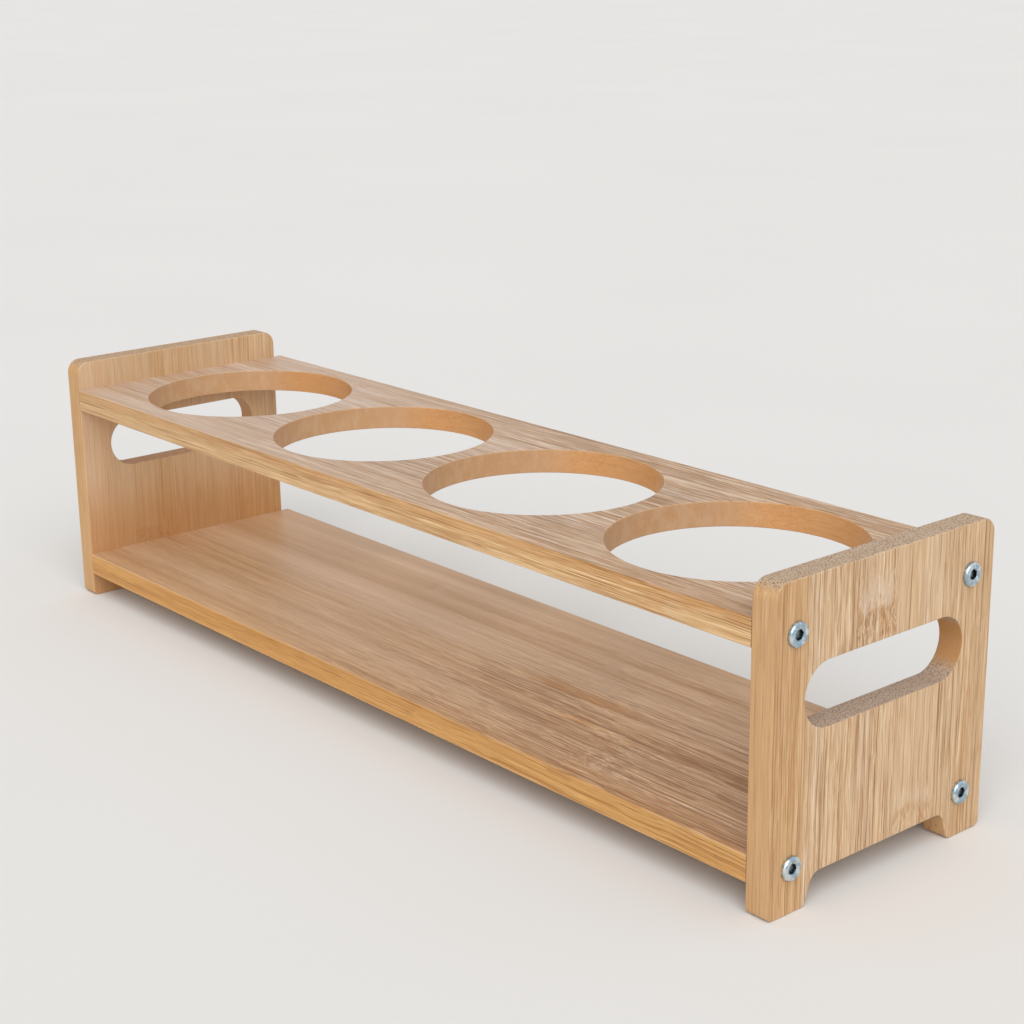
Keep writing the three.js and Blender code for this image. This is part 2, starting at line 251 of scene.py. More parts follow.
class Plate:
    """A closed plate of wood built ring by ring, with the way out of the wood kept for its shading."""

    def __init__(self, thickness, place):
        self.half = thickness / 2
        self.place = place
        self.bm = bmesh.new()
        self.out = self.bm.verts.layers.float_vector.new("out")
        self.arris = self.bm.verts.layers.float.new("arris")
        self.routed = self.bm.verts.layers.float.new("routed")
        self.square = self.bm.faces.layers.int.new("square")
        self.face_edges = {1: [], -1: []}

    def point(self, a, b, height, out, wear_and_highlight=0.0, routed=0.0):
        vertex = self.bm.verts.new(self.place @ Vector((a, b, height)))
        vertex[self.out] = self.place.to_3x3() @ out
        vertex[self.arris] = wear_and_highlight
        vertex[self.routed] = routed
        return vertex

    def edge(self, first, second):
        return self.bm.edges.get((first, second)) or self.bm.edges.new((first, second))

    def ring_edges(self, ring):
        return [self.edge(ring[i - 1], ring[i]) for i in range(len(ring))]

    def wall(self, outline, radius, routed=0.0):
        """Works one outline down the plate's thickness, its arrises rounded."""
        rings = []
        for inset, height, angle, wear_and_highlight in arris_profile(radius, self.half):
            ring = []
            for spot, away in outline:
                at = spot - away * inset
                out = Vector((away.x * math.sin(angle), away.y * math.sin(angle), math.cos(angle)))
                ring.append(self.point(at.x, at.y, height, out, wear_and_highlight, routed * math.sin(angle)))
            rings.append(ring)
        count = len(outline)
        for upper, lower in zip(rings, rings[1:]):
            for i in range(count):
                j = (i + 1) % count
                self.bm.faces.new((upper[i], lower[i], lower[j], upper[j]))
        for side, ring in ((1, rings[0]), (-1, rings[-1])):
            self.face_edges[side] += self.ring_edges(ring)

    def bore_rim(self, centre, out, radius, across, up):
        """A ring of points around a bore whose mouth faces out."""
        ring = []
        for step in range(BORE_STEPS):
            angle = math.tau * step / BORE_STEPS
            at = centre + across * (radius * math.cos(angle)) + up * (radius * math.sin(angle))
            ring.append(self.point(at.x, at.y, at.z, out))
        return ring

    def tube(self, mouth, end):
        """The plain wall of a bore."""
        for i in range(BORE_STEPS):
            face = self.bm.faces.new((mouth[i - 1], mouth[i], end[i], end[i - 1]))
            face[self.square] = 1

    def through_bore(self, a, b, radius):
        """A plain bore from face to face."""
        across, up, face_out = Vector((1, 0, 0)), Vector((0, 1, 0)), Vector((0, 0, 1))
        rims = []
        for side in (1, -1):
            rim = self.bore_rim(Vector((a, b, side * self.half)), face_out * side, radius, across, up)
            self.face_edges[side] += self.ring_edges(rim)
            rims.append(rim)
        self.tube(*rims)

    def long_edges(self, low, high, radius):
        """Rounds the two long edges of a board; gives the rim of each square end as (end x, edges)."""
        profile = arris_profile(radius, self.half)
        faces = ((1, 0), (-1, -1))
        ends = (low.x, high.x)
        columns = []
        for side, edge_y in ((-1, low.y), (1, high.y)):
            pair = []
            for x in ends:
                column = []
                for inset, height, angle, wear_and_highlight in profile:
                    out = Vector((0.0, side * math.sin(angle), math.cos(angle)))
                    column.append(self.point(x, edge_y - side * inset, height, out, wear_and_highlight))
                pair.append(column)
            for k in range(len(profile) - 1):
                self.bm.faces.new((pair[0][k], pair[0][k + 1], pair[1][k + 1], pair[1][k]))
            for face, k in faces:
                self.face_edges[face].append(self.edge(pair[0][k], pair[1][k]))
            columns.append(pair)
        rims = []
        for index, x in enumerate(ends):
            front, back = columns[0][index], columns[1][index]
            rim = [self.edge(*pair) for column in (front, back) for pair in zip(column, column[1:])]
            for face, k in faces:
                across = self.edge(front[k], back[k])
                rim.append(across)
                self.face_edges[face].append(across)
            rims.append((x, rim))
        return rims

    def square_end(self, end_x, rim, bores, radius, depth):
        """Closes the square end of a board, with blind pilot bores in it."""
        out = Vector((math.copysign(1.0, end_x), 0.0, 0.0))
        across, up = Vector((0, 1, 0)), Vector((0, 0, 1))
        for y, height in bores:
            mouth_at = Vector((end_x, y, height))
            mouth = self.bore_rim(mouth_at, out, radius, across, up)
            bottom = self.bore_rim(mouth_at - out * depth, out, radius, across, up)
            self.tube(mouth, bottom)
            self.bm.faces.new(bottom)[self.square] = 1
            rim = rim + self.ring_edges(mouth)
        filled = bmesh.ops.triangle_fill(self.bm, use_beauty=True, edges=rim)
        for item in filled["geom"]:
            if isinstance(item, bmesh.types.BMFace):
                item[self.square] = 1

    def finish(self, name):
        """Closes both faces and turns the plate into an object whose shading follows its worked edges."""
        for edges in self.face_edges.values():
            bmesh.ops.triangle_fill(self.bm, use_beauty=True, edges=edges)
        bmesh.ops.recalc_face_normals(self.bm, faces=self.bm.faces)
        open_edges = [edge for edge in self.bm.edges if len(edge.link_faces) != 2]
        if open_edges:
            raise RuntimeError(f"{name} is not closed: {len(open_edges)} open edges")
        mesh = bpy.data.meshes.new(name)
        self.bm.to_mesh(mesh)
        self.bm.free()
        mesh.shade_smooth()
        out = [Vector(item.vector) for item in mesh.attributes["out"].data]
        square = [item.value for item in mesh.attributes["square"].data]
        normals = []
        for polygon in mesh.polygons:
            for corner in polygon.loop_indices:
                vertex = mesh.loops[corner].vertex_index
                normals.append(polygon.normal if square[polygon.index] else out[vertex])
        mesh.normals_split_custom_set(normals)
        for spare in ("out", "square"):
            mesh.attributes.remove(mesh.attributes[spare])
        return put_object(name, mesh)


def standing_place(low, high):
    """Frame of a plate that stands across the rack: drawn in Y and Z, its thickness along X."""
    turn = Matrix(((0, 0, 1), (1, 0, 0), (0, 1, 0)))
    return Matrix.Translation(((low.x + high.x) / 2, 0, 0)) @ turn.to_4x4()


def lying_place(low, high):
    """Frame of a board that lies along the rack: drawn in X and Y, its thickness along Z."""
    return Matrix.Translation((0, 0, (low.z + high.z) / 2))


def screw_axes(level, end="right"):
    """Y and Z of the two screws of one end and level, from their solids."""
    spots = []
    for row in ROWS:
        low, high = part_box(f"screw_{end}_{level}_{row}")
        spots.append(((low.y + high.y) / 2, (low.z + high.z) / 2))
    return spots


# Node sheets

SOCKETS = {"value": "NodeSocketFloat", "vector": "NodeSocketVector", "colour": "NodeSocketColor"}
WHITE = (1.0, 1.0, 1.0)
MIDDLE = 0.5


class Sheet:
    """Places nodes in a tree and links what it is given, whether a socket or a plain value."""

    def __init__(self, tree):
        self.tree = tree

    def node(self, kind, inputs=None, **settings):
        node = self.tree.nodes.new(kind)
        for name, value in settings.items():
            setattr(node, name, value)
        for socket, value in (inputs or {}).items():
            self.feed(node.inputs[socket], value)
        return node

    def feed(self, socket, value):
        if isinstance(value, bpy.types.NodeSocket):
            self.tree.links.new(value, socket)
        elif socket.type == "RGBA":
            socket.default_value = (*value, 1.0)
        else:
            socket.default_value = value

    def math(self, operation, *values):
        """One operation on up to three values."""
        return self.node("ShaderNodeMath", dict(enumerate(values)), operation=operation).outputs[0]

    def chain(self, operation, values):
        """One operation after the other, from the first value to the last."""
        result = values[0]
        for value in values[1:]:
            result = self.math(operation, result, value)
        return result

    def times(self, *values):
        return self.chain("MULTIPLY", values)

    def plus(self, *values):
        return self.chain("ADD", values)

    def most(self, *values):
        return self.chain("MAXIMUM", values)

    def less(self, value, taken):
        return self.math("SUBTRACT", value, taken)

    def swing(self, value, middle=MIDDLE):
        """How far a value lies off its middle."""
        return self.less(value, middle)

    def rest(self, mask):
        """What a mask leaves."""
        return self.less(1.0, mask)

    def share(self, distance, reach):
        """How far out something lies on either side, as a share of a reach."""
        return self.math("DIVIDE", self.math("ABSOLUTE", distance), reach)

    def vector(self, operation, first, second=None):
        inputs = {0: first}
        if second is not None:
            inputs["Scale" if operation == "SCALE" else 1] = second
        return self.node("ShaderNodeVectorMath", inputs, operation=operation).outputs["Vector"]

    def split(self, vector):
        return self.node("ShaderNodeSeparateXYZ", {0: vector}).outputs

    def join(self, x, y, z):
        return self.node("ShaderNodeCombineXYZ", {0: x, 1: y, 2: z}).outputs[0]

    def attribute(self, name):
        return self.node("ShaderNodeAttribute", attribute_name=name, attribute_type="GEOMETRY").outputs["Fac"]

    def noise(self, vector, scales, detail=2.0, roughness=0.5, shift=0.0, output="Fac"):
        """Noise over a vector, stretched by its scales and shifted along its first axis."""
        drawn_out = self.vector("MULTIPLY", vector, scales)
        if shift:
            drawn_out = self.vector("ADD", drawn_out, (shift, 0.0, 0.0))
        node = self.node(
            "ShaderNodeTexNoise",
            {"Vector": drawn_out, "Scale": 1.0, "Detail": detail, "Roughness": roughness},
            noise_dimensions="3D", normalize=True)
        return node.outputs[output]

    def jitter(self, vector, scales, detail=1.0):
        """Noise about zero in all three directions."""
        return self.vector("SUBTRACT", self.noise(vector, scales, detail, output="Color"), (MIDDLE,) * 3)

    def ease(self, value, low, high, to_low=0.0, to_high=1.0):
        """A smooth step from one level to another."""
        node = self.node(
            "ShaderNodeMapRange",
            {"Value": value, "From Min": low, "From Max": high, "To Min": to_low, "To Max": to_high},
            interpolation_type="SMOOTHSTEP", clamp=True)
        return node.outputs["Result"]

    def fade(self, value, low, high):
        """A smooth step down."""
        return self.ease(value, low, high, 1.0, 0.0)

    def dimmed(self, mask, share):
        """Full where a mask is off, a share where it is on."""
        return self.ease(mask, 0.0, 1.0, 1.0, share)

    def mix(self, factor, first, second, blend="MIX"):
        node = self.node("ShaderNodeMix", data_type="RGBA", blend_type=blend, clamp_factor=True)
        self.feed(node.inputs["Factor"], factor)
        colours = [socket for socket in node.inputs if socket.type == "RGBA"]
        self.feed(colours[0], first)
        self.feed(colours[1], second)
        return next(socket for socket in node.outputs if socket.type == "RGBA")

    def tinted(self, mask, base, tint):
        """A colour multiplied by a tint where a mask is on."""
        return self.mix(mask, base, self.mix(1.0, base, tint, "MULTIPLY"))

    def group(self, name, inputs):
        return self.node("ShaderNodeGroup", inputs, node_tree=bpy.data.node_groups[name]).outputs

    def bump(self, height, strength, distance):
        inputs = {"Strength": strength, "Distance": distance, "Height": height}
        return self.node("ShaderNodeBump", inputs).outputs["Normal"]

    def surface(self, inputs):
        """Ends a material in its shader."""
        shader = self.node("ShaderNodeBsdfPrincipled", inputs)
        self.node("ShaderNodeOutputMaterial", {"Surface": shader.outputs["BSDF"]})


def new_group(name, inputs, outputs):
    """An empty shader group whose sockets are listed by kind; gives its sheet and its inputs."""
    tree = bpy.data.node_groups.new(name, "ShaderNodeTree")
    for way, sockets in (("INPUT", inputs), ("OUTPUT", outputs)):
        for kind, titles in sockets.items():
            for socket in titles:
                tree.interface.new_socket(socket, in_out=way, socket_type=SOCKETS[kind])
    sheet = Sheet(tree)
    return sheet, sheet.node("NodeGroupInput").outputs


def new_material(name):
    """A material and its empty sheet."""
    material = bpy.data.materials.new(name)
    material.use_nodes = True
    material.node_tree.nodes.clear()
    return material, Sheet(material.node_tree)


# Bamboo. Its patterns lie in the grain's own frame, in millimetres: along the grain, across it and through it

FIBRE_MARKS = ("Band", "Streak", "Fibre", "Pale", "Line", "Dash", "Tick", "Dot", "Scuff")
STRIP_MARKS = ("Strip Tone", "Strip Hue", "Strip Figure", "Glue", "Upper")
KNUCKLE_MARKS = ("Patch", "Glow", "Fleck")
SURFACE_MARKS = ("Arris", "Routed", "Warm Strip", "Ramp", "Contrast")
BAMBOO_COLOURS = ("peach", "beige", "tan", "brown", "blush")
# Tints by facing and place: the face, low and side light tints are painted light and shade, the others the
# wood's own colour
LOOK_TINTS = (
    "face_light_tint", "low_light_tint", "warm_tint", "side_tint", "low_side_tint", "end_tint", "routed_tint",
    "routed_end_tint")
LOOK_VALUES = (
    "low_contrast", "side_contrast", "hue_swing", "band_tone", "upper_tone", "routed_dots", "scuffing")

# Noise of each fibre mark: scale along and across the grain, shift, detail
FIBRE_NOISES = {
    "Band": (0.003, 0.11, 0.0, 1.0), "Streak": (0.006, 0.5, 7.0, 2.0), "Fibre": (0.06, 2.4, 13.0, 2.0),
    "Pale": (0.025, 0.8, 91.0, 2.0), "Dash": (0.03, 1.1, 71.0, 2.0), "Tick": (0.12, 1.6, 57.0, 1.0),
    "cluster": (0.008, 0.17, 3.0, 1.0), "broken": (0.02, 0.3, 45.0, 1.0),
}
FIBRE_ROUGHNESS, FIBRE_FLATNESS = 0.55, 1.5
# Noise levels between which a mark comes up, and the strengths it goes from and to
FIBRE_LEVELS = {
    "Pale": (0.56, 0.68), "Dash": (0.58, 0.66), "Tick": (0.62, 0.7),
    "cluster": (0.36, 0.6, 0.3, 1.0), "broken": (0.4, 0.6, 0.2, 1.0),
}
# Cells of the bundles: scale along and across the grain, distances at which a bundle is full and gone
COARSE_BUNDLES, FINE_BUNDLES = (0.0075, 0.74, 0.18, 0.38), (0.012, 1.35, 0.2, 0.46)
COARSE_DARKNESS, FINE_DARKNESS = 0.75, 0.85
SWAY_SCALES, SWAY = (0.006, 0.02, 0.03), (0.0, 2.0, 2.0)
RIPPLE_SCALES, RIPPLE = (0.05, 0.09, 0.09), (0.0, 1.6, 1.6)
SCUFF_SCALES, SCUFF_DETAIL, SCUFF_ROUGHNESS, SCUFF_LEVELS = (0.3, 0.22, 0.12), 3.0, 0.6, (0.42, 0.66)


def title(key):
    """The socket that takes a value of a look or a colour of the settings."""
    return key.replace("_", " ").title()


def bamboo_fibres_group():
    """Fibre bundles that run along the grain: thin lines on the faces, dots on the ends."""
    sheet, given = new_group(
        "bamboo_fibres", {"vector": ["Grain"], "value": ["Drift", "Fineness"]}, {"value": FIBRE_MARKS})
    grain, fineness = given["Grain"], given["Fineness"]
    sway = sheet.vector("MULTIPLY", sheet.jitter(grain, SWAY_SCALES), SWAY)
    ripple = sheet.vector("MULTIPLY", sheet.jitter(grain, RIPPLE_SCALES), RIPPLE)
    drift = sheet.vector("SCALE", sheet.vector("ADD", sway, ripple), given["Drift"])
    swayed = sheet.vector("ADD", grain, drift)
    sized = sheet.vector("MULTIPLY", swayed, sheet.join(1.0, fineness, fineness))

    def bundles(along, across, full, gone):
        drawn_out = sheet.vector("MULTIPLY", sized, (along, across, across))
        cells = sheet.node(
            "ShaderNodeTexVoronoi", {"Vector": drawn_out, "Scale": 1.0, "Randomness": 1.0},
            voronoi_dimensions="3D", feature="F1")
        return sheet.fade(cells.outputs["Distance"], full, gone)

    marks = {}
    for mark, (along, across, shift, detail) in FIBRE_NOISES.items():
        scales = (along, across, FIBRE_FLATNESS * across)
        marks[mark] = sheet.noise(swayed, scales, detail, FIBRE_ROUGHNESS, shift)
    for mark, levels in FIBRE_LEVELS.items():
        marks[mark] = sheet.ease(marks[mark], *levels)
    fine = bundles(*FINE_BUNDLES)
    bold = sheet.times(bundles(*COARSE_BUNDLES), marks.pop("cluster"), COARSE_DARKNESS)
    thread = sheet.times(fine, marks.pop("broken"), FINE_DARKNESS)
    scuffs = sheet.noise(grain, SCUFF_SCALES, SCUFF_DETAIL, SCUFF_ROUGHNESS)
    sheet.node("NodeGroupOutput", {
        **marks, "Line": sheet.most(bold, thread), "Dot": fine, "Scuff": sheet.ease(scuffs, *SCUFF_LEVELS)})


# Where a seam starts and is full, as a share of a strip's width off its middle
SEAM = (0.488, 0.497)
# Where the glue between two layers ends, off its level; how far the upper layer's strips lie aside
GLUE_FILM, LAYER_SHIFT = (0.1, 0.28), 7.3
# Boards that lie this far apart are thrown their own tones; walls routed more than this show no layers
STOCK_SPACING, LEAST_ROUTED = 100.0, 0.05


def bamboo_strips_group():
    """Strips glued side by side and in two layers: tones for each strip and the thin glue lines."""
    sheet, given = new_group(
        "bamboo_strips",
        {"vector": ["Grain"], "value": ["Strip Width", "Strip Offset", "Glue Level", "Routed"]},
        {"value": ["Strip", *STRIP_MARKS]})
    across, through = sheet.split(given["Grain"])[1:3]
    layered = sheet.math("LESS_THAN", given["Routed"], LEAST_ROUTED)
    upper = sheet.times(sheet.math("GREATER_THAN", through, given["Glue Level"]), layered)
    shifted = sheet.plus(across, given["Strip Offset"], sheet.times(upper, LAYER_SHIFT))
    counted = sheet.math("DIVIDE", shifted, given["Strip Width"])
    strip = sheet.math("FLOOR", counted)
    off_middle = sheet.math("ABSOLUTE", sheet.swing(sheet.math("FRACT", counted)))
    stock = sheet.math("FLOOR", sheet.times(through, 1.0 / STOCK_SPACING))
    dice = sheet.node(
        "ShaderNodeTexWhiteNoise", {"Vector": sheet.join(strip, upper, stock)}, noise_dimensions="3D").outputs
    thrown = sheet.node("ShaderNodeSeparateColor", {0: dice["Color"]}).outputs
    off_glue = sheet.math("ABSOLUTE", sheet.less(through, given["Glue Level"]))
    between = sheet.times(sheet.fade(off_glue, *GLUE_FILM), layered)
    sheet.node("NodeGroupOutput", {
        "Strip": strip, "Strip Tone": thrown[0], "Strip Hue": thrown[1], "Strip Figure": thrown[2],
        "Glue": sheet.most(sheet.ease(off_middle, *SEAM), between), "Upper": upper,
    })


RAGGEDNESS, FAN, CURL, STROKE_WIDTH = 1.2, 0.6, 3.0, 0.06
KNUCKLE_DEPTH = 7.0
WAVES, CURLS, STROKES = (0.0, 0.3, 0.3), (0.15, 0.3, 0.3), (0.06, 0.5, 0.3)
GAPS, EMBERS = (0.12, 0.4, 0.4), (0.1, 0.32, 0.32)
# Where a part of the knuckle comes up and where it goes: in reaches along the grain, in half widths across it
# and in depths through it
KNUCKLE_SIDES, KNUCKLE_BACK = (0.85, 1.0), (0.8, 1.0)
PATCH_START, PATCH_END, PATCH_SIDES = (-0.1, 0.4), (0.5, 1.7), (0.5, 1.0)
FLAMES_START, FLAMES_END, FAN_SPAN = (-1.3, -0.7), (-0.05, 0.3), (-1.4, 0.0, 1.4, 0.0)
BEND_START, BEND_END = (-1.6, -0.4), (0.3, 1.8)
# Noise levels of its broken parts, and the strengths they go from and to
PATCH_WAVES, STROKE_GAPS, EMBER_LEVELS = (0.35, 0.6, 0.5, 1.0), (0.36, 0.52, 0.15, 1.0), (0.4, 0.62)


def bamboo_knuckle_group():
    """One knuckle of the cane across one strip: a pale patch on one side, flame-like strokes on the other."""
    sheet, given = new_group(
        "bamboo_knuckle", {"vector": ["Grain", "Place"], "value": ["Half Width", "Reach", "Strength"]},
        {"value": [*KNUCKLE_MARKS, "Bend"]})
    grain = given["Grain"]
    off = sheet.split(sheet.vector("SUBTRACT", grain, given["Place"]))
    wavy = sheet.noise(grain, WAVES)
    ragged = sheet.times(sheet.swing(wavy), RAGGEDNESS)
    along = sheet.plus(sheet.math("DIVIDE", off[0], given["Reach"]), ragged)
    beside = sheet.share(off[1], given["Half Width"])
    behind = sheet.share(off[2], KNUCKLE_DEPTH)
    strip = sheet.times(
        sheet.fade(beside, *KNUCKLE_SIDES), sheet.fade(behind, *KNUCKLE_BACK), given["Strength"])
    patch = sheet.times(
        sheet.ease(along, *PATCH_START), sheet.fade(along, *PATCH_END), sheet.fade(beside, *PATCH_SIDES),
        sheet.ease(wavy, *PATCH_WAVES))
    flames = sheet.times(sheet.ease(along, *FLAMES_START), sheet.fade(along, *FLAMES_END), strip)
    spread = sheet.plus(sheet.times(sheet.ease(along, *FAN_SPAN), FAN), 1.0)
    fanned = sheet.join(off[0], sheet.math("DIVIDE", off[1], spread), off[2])
    curled = sheet.vector("ADD", fanned, sheet.vector("SCALE", sheet.jitter(grain, CURLS), CURL))
    off_stroke = sheet.math("ABSOLUTE", sheet.swing(sheet.noise(curled, STROKES, detail=1.0)))
    broken = sheet.ease(sheet.noise(grain, GAPS, detail=1.0), *STROKE_GAPS)
    strokes = sheet.times(sheet.fade(off_stroke, 0.0, STROKE_WIDTH), broken)
    embers = sheet.ease(sheet.noise(fanned, EMBERS), *EMBER_LEVELS)
    bend = sheet.times(sheet.ease(along, *BEND_START), sheet.fade(along, *BEND_END))
    sheet.node("NodeGroupOutput", {
        "Patch": sheet.times(patch, strip), "Glow": sheet.times(flames, embers),
        "Fleck": sheet.times(flames, strokes), "Bend": sheet.times(bend, strip),
    })


# How squarely a spot must look along or across the grain to count as end or side
END_FACING, SIDE_FACING = (0.4, 0.95), (0.5, 0.9)
# What is left of the figure, the hue and the tone on ends, routed walls, warm strips and patches
CALM_END, CALM_ROUTED, ROUTED_FIGURE, WARM_FIGURE, PATCH_FIGURE = 0.25, 0.3, 0.25, 0.95, 0.4
STRIP_FIGURES, EDGE_FADE = (0.0, 0.7, 0.6, 1.0), 0.5
STRIP_HUE, STRIP_TONE = 0.5, 0.1
# Middle and weight of the marks that lighten and darken the wood, and what a tone does to red, green and blue
TONE_SWINGS = {"Streak": (0.5, 0.45), "Fibre": (0.5, 0.7), "Pale": (0.25, 0.14)}
TONE_WARMTH = (1.0, 1.4, 1.95)
# How far each mark goes to its colour
BLUSHED_PATCH = 0.6
TAN_DASH, TAN_GLOW, TAN_LAYER = 0.28, 0.5, 0.19
BROWN_LINE, MOST_BROWN_LINE, BROWN_FLECK, BROWN_DOT, BROWN_GLUE = 0.66, 0.62, 0.55, 0.98, 0.2
GLUE_ROUTED_OFF = 0.3
ARRIS_WEAR_AND_HIGHLIGHT = (0.3, 0.6, 0.04, 0.22)
SMOOTH_WOOD, ROUGH_FIBRE, ROUGH_END, WORN_POLISH = 0.33, 0.18, 0.15, 0.12
FIBRE_HEIGHT = 0.5


def bamboo_colour_group():
    """Colour, roughness and height of bamboo from its fibres, strips, knuckles and ends, with wear and a
    painted highlight on its edges and painted light and shade tinted by facing.
    """
    sheet, given = new_group(
        "bamboo_colour",
        {
            "value": [*FIBRE_MARKS, *STRIP_MARKS, *KNUCKLE_MARKS, *SURFACE_MARKS, *map(title, LOOK_VALUES)],
            "vector": ["Facing"], "colour": [*map(title, BAMBOO_COLOURS), *map(title, LOOK_TINTS)],
        },
        {"colour": ["Color"], "value": ["Roughness", "Height"]})
    routed, ramp, upper = given["Routed"], given["Ramp"], given["Upper"]
    end, side = sheet.split(given["Facing"])[:2]
    end_mask, side_mask = sheet.ease(end, *END_FACING), sheet.ease(side, *SIDE_FACING)
    not_end, not_side, low = sheet.rest(end_mask), sheet.rest(side_mask), sheet.rest(ramp)
    plain = sheet.rest(sheet.most(side_mask, end_mask))
    calm_end, calm_rout = sheet.dimmed(end_mask, CALM_END), sheet.dimmed(routed, CALM_ROUTED)

    faded = sheet.ease(ramp, 0.0, 1.0, given["Low Contrast"], 1.0)
    face_figure = sheet.times(
        given["Contrast"], sheet.ease(given["Strip Figure"], *STRIP_FIGURES),
        sheet.dimmed(given["Warm Strip"], WARM_FIGURE), faded)
    half_faded = sheet.math("MULTIPLY_ADD", faded, EDGE_FADE, 1 - EDGE_FADE)
    edge_figure = sheet.times(given["Side Contrast"], half_faded)
    figure = sheet.plus(sheet.times(face_figure, not_side), sheet.times(edge_figure, side_mask))
    figure = sheet.times(figure, sheet.dimmed(routed, ROUTED_FIGURE))

    band = sheet.swing(given["Band"])
    hue = sheet.plus(
        sheet.times(band, given["Hue Swing"]), sheet.times(sheet.swing(given["Strip Hue"]), STRIP_HUE))
    hue = sheet.plus(sheet.times(hue, calm_end, calm_rout), MIDDLE)
    wood = sheet.mix(sheet.ease(hue, 0.0, 1.0), given["Peach"], given["Beige"])

    tone = sheet.times(sheet.swing(given["Strip Tone"]), STRIP_TONE)
    tone = sheet.times(sheet.plus(tone, sheet.times(band, given["Band Tone"])), calm_rout)
    for source, (middle, weight) in TONE_SWINGS.items():
        tone = sheet.plus(tone, sheet.times(sheet.swing(given[source], middle), weight, figure))
    layer = sheet.times(upper, given["Upper Tone"], side_mask)
    warmed = sheet.vector("SCALE", TONE_WARMTH, sheet.plus(sheet.times(tone, calm_end), layer))
    wood = sheet.vector("MULTIPLY", wood, sheet.vector("ADD", warmed, WHITE))

    wood = sheet.mix(sheet.times(given["Patch"], BLUSHED_PATCH), wood, given["Blush"])
    keen = sheet.times(figure, not_end, sheet.dimmed(given["Patch"], PATCH_FIGURE))
    dash = sheet.most(sheet.times(given["Dash"], plain), given["Tick"])
    tanned = sheet.most(
        sheet.times(dash, sheet.times(keen, TAN_DASH)), sheet.times(given["Glow"], TAN_GLOW),
        sheet.times(upper, side_mask, TAN_LAYER))
    wood = sheet.mix(tanned, wood, given["Tan"])
    line = sheet.math("MINIMUM", sheet.times(given["Line"], sheet.times(keen, BROWN_LINE)), MOST_BROWN_LINE)
    dots = sheet.times(given["Dot"], sheet.dimmed(routed, given["Routed Dots"]))
    dark = sheet.most(
        line, sheet.times(given["Fleck"], BROWN_FLECK), sheet.times(dots, sheet.times(end_mask, BROWN_DOT)),
        sheet.times(given["Glue"], sheet.ease(routed, 0.0, GLUE_ROUTED_OFF, BROWN_GLUE, 0.0)))
    wood = sheet.mix(dark, wood, given["Brown"])

    routed_end = sheet.times(routed, end_mask)
    # Painted light and shade: the face, low and side light tints; the low side tint darkens side faces at the
    # low end
    masks = (
        plain, sheet.times(plain, low), sheet.times(plain, given["Warm Strip"]), side_mask,
        sheet.times(side_mask, low), end_mask, sheet.times(routed, not_end), routed_end)
    for mask, tint in zip(masks, LOOK_TINTS):
        wood = sheet.tinted(mask, wood, given[title(tint)])
    wood = sheet.mix(sheet.times(given["Scuff"], routed_end, given["Scuffing"]), wood, given["Blush"])
    # Rounded edges paled towards beige: partly wear, partly a painted highlight along the arris
    worn_and_highlit = sheet.times(given["Arris"], sheet.ease(given["Streak"], *ARRIS_WEAR_AND_HIGHLIGHT))
    wood = sheet.mix(worn_and_highlit, wood, given["Beige"])
    rough = sheet.plus(
        sheet.times(given["Fibre"], ROUGH_FIBRE), SMOOTH_WOOD, sheet.times(end_mask, ROUGH_END))
    sheet.node("NodeGroupOutput", {
        "Color": wood, "Roughness": sheet.less(rough, sheet.times(worn_and_highlit, WORN_POLISH)),
        "Height": sheet.less(sheet.times(given["Fibre"], FIBRE_HEIGHT), dark),
    })


STAIN_ENDS, STAIN_SIDES = (0.3, 1.0), (0.4, 1.0)
STAIN_SCALES, STAIN_LEVELS = (0.04, 0.4, 0.4), (0.35, 0.6, 0.4, 1.0)


def stain_mask(sheet, grain, place, half_length, half_width, strength):
    """An ochre stain drawn out along the grain."""
    off = sheet.split(sheet.vector("SUBTRACT", grain, place))
    along = sheet.fade(sheet.share(off[0], half_length), *STAIN_ENDS)
    beside = sheet.fade(sheet.share(off[1], half_width), *STAIN_SIDES)
    patchy = sheet.ease(sheet.noise(grain, STAIN_SCALES), *STAIN_LEVELS)
    return sheet.times(along, beside, patchy, strength)


WIGGLE_SCALES = (0.09, 0.22, 0.22)
SAME_STRIP = 0.5
WOOD_BUMP = {"strength": 0.45, "distance": 0.3 * MM}
WOOD_IOR, WOOD_GLOSS = 1.48, 0.25


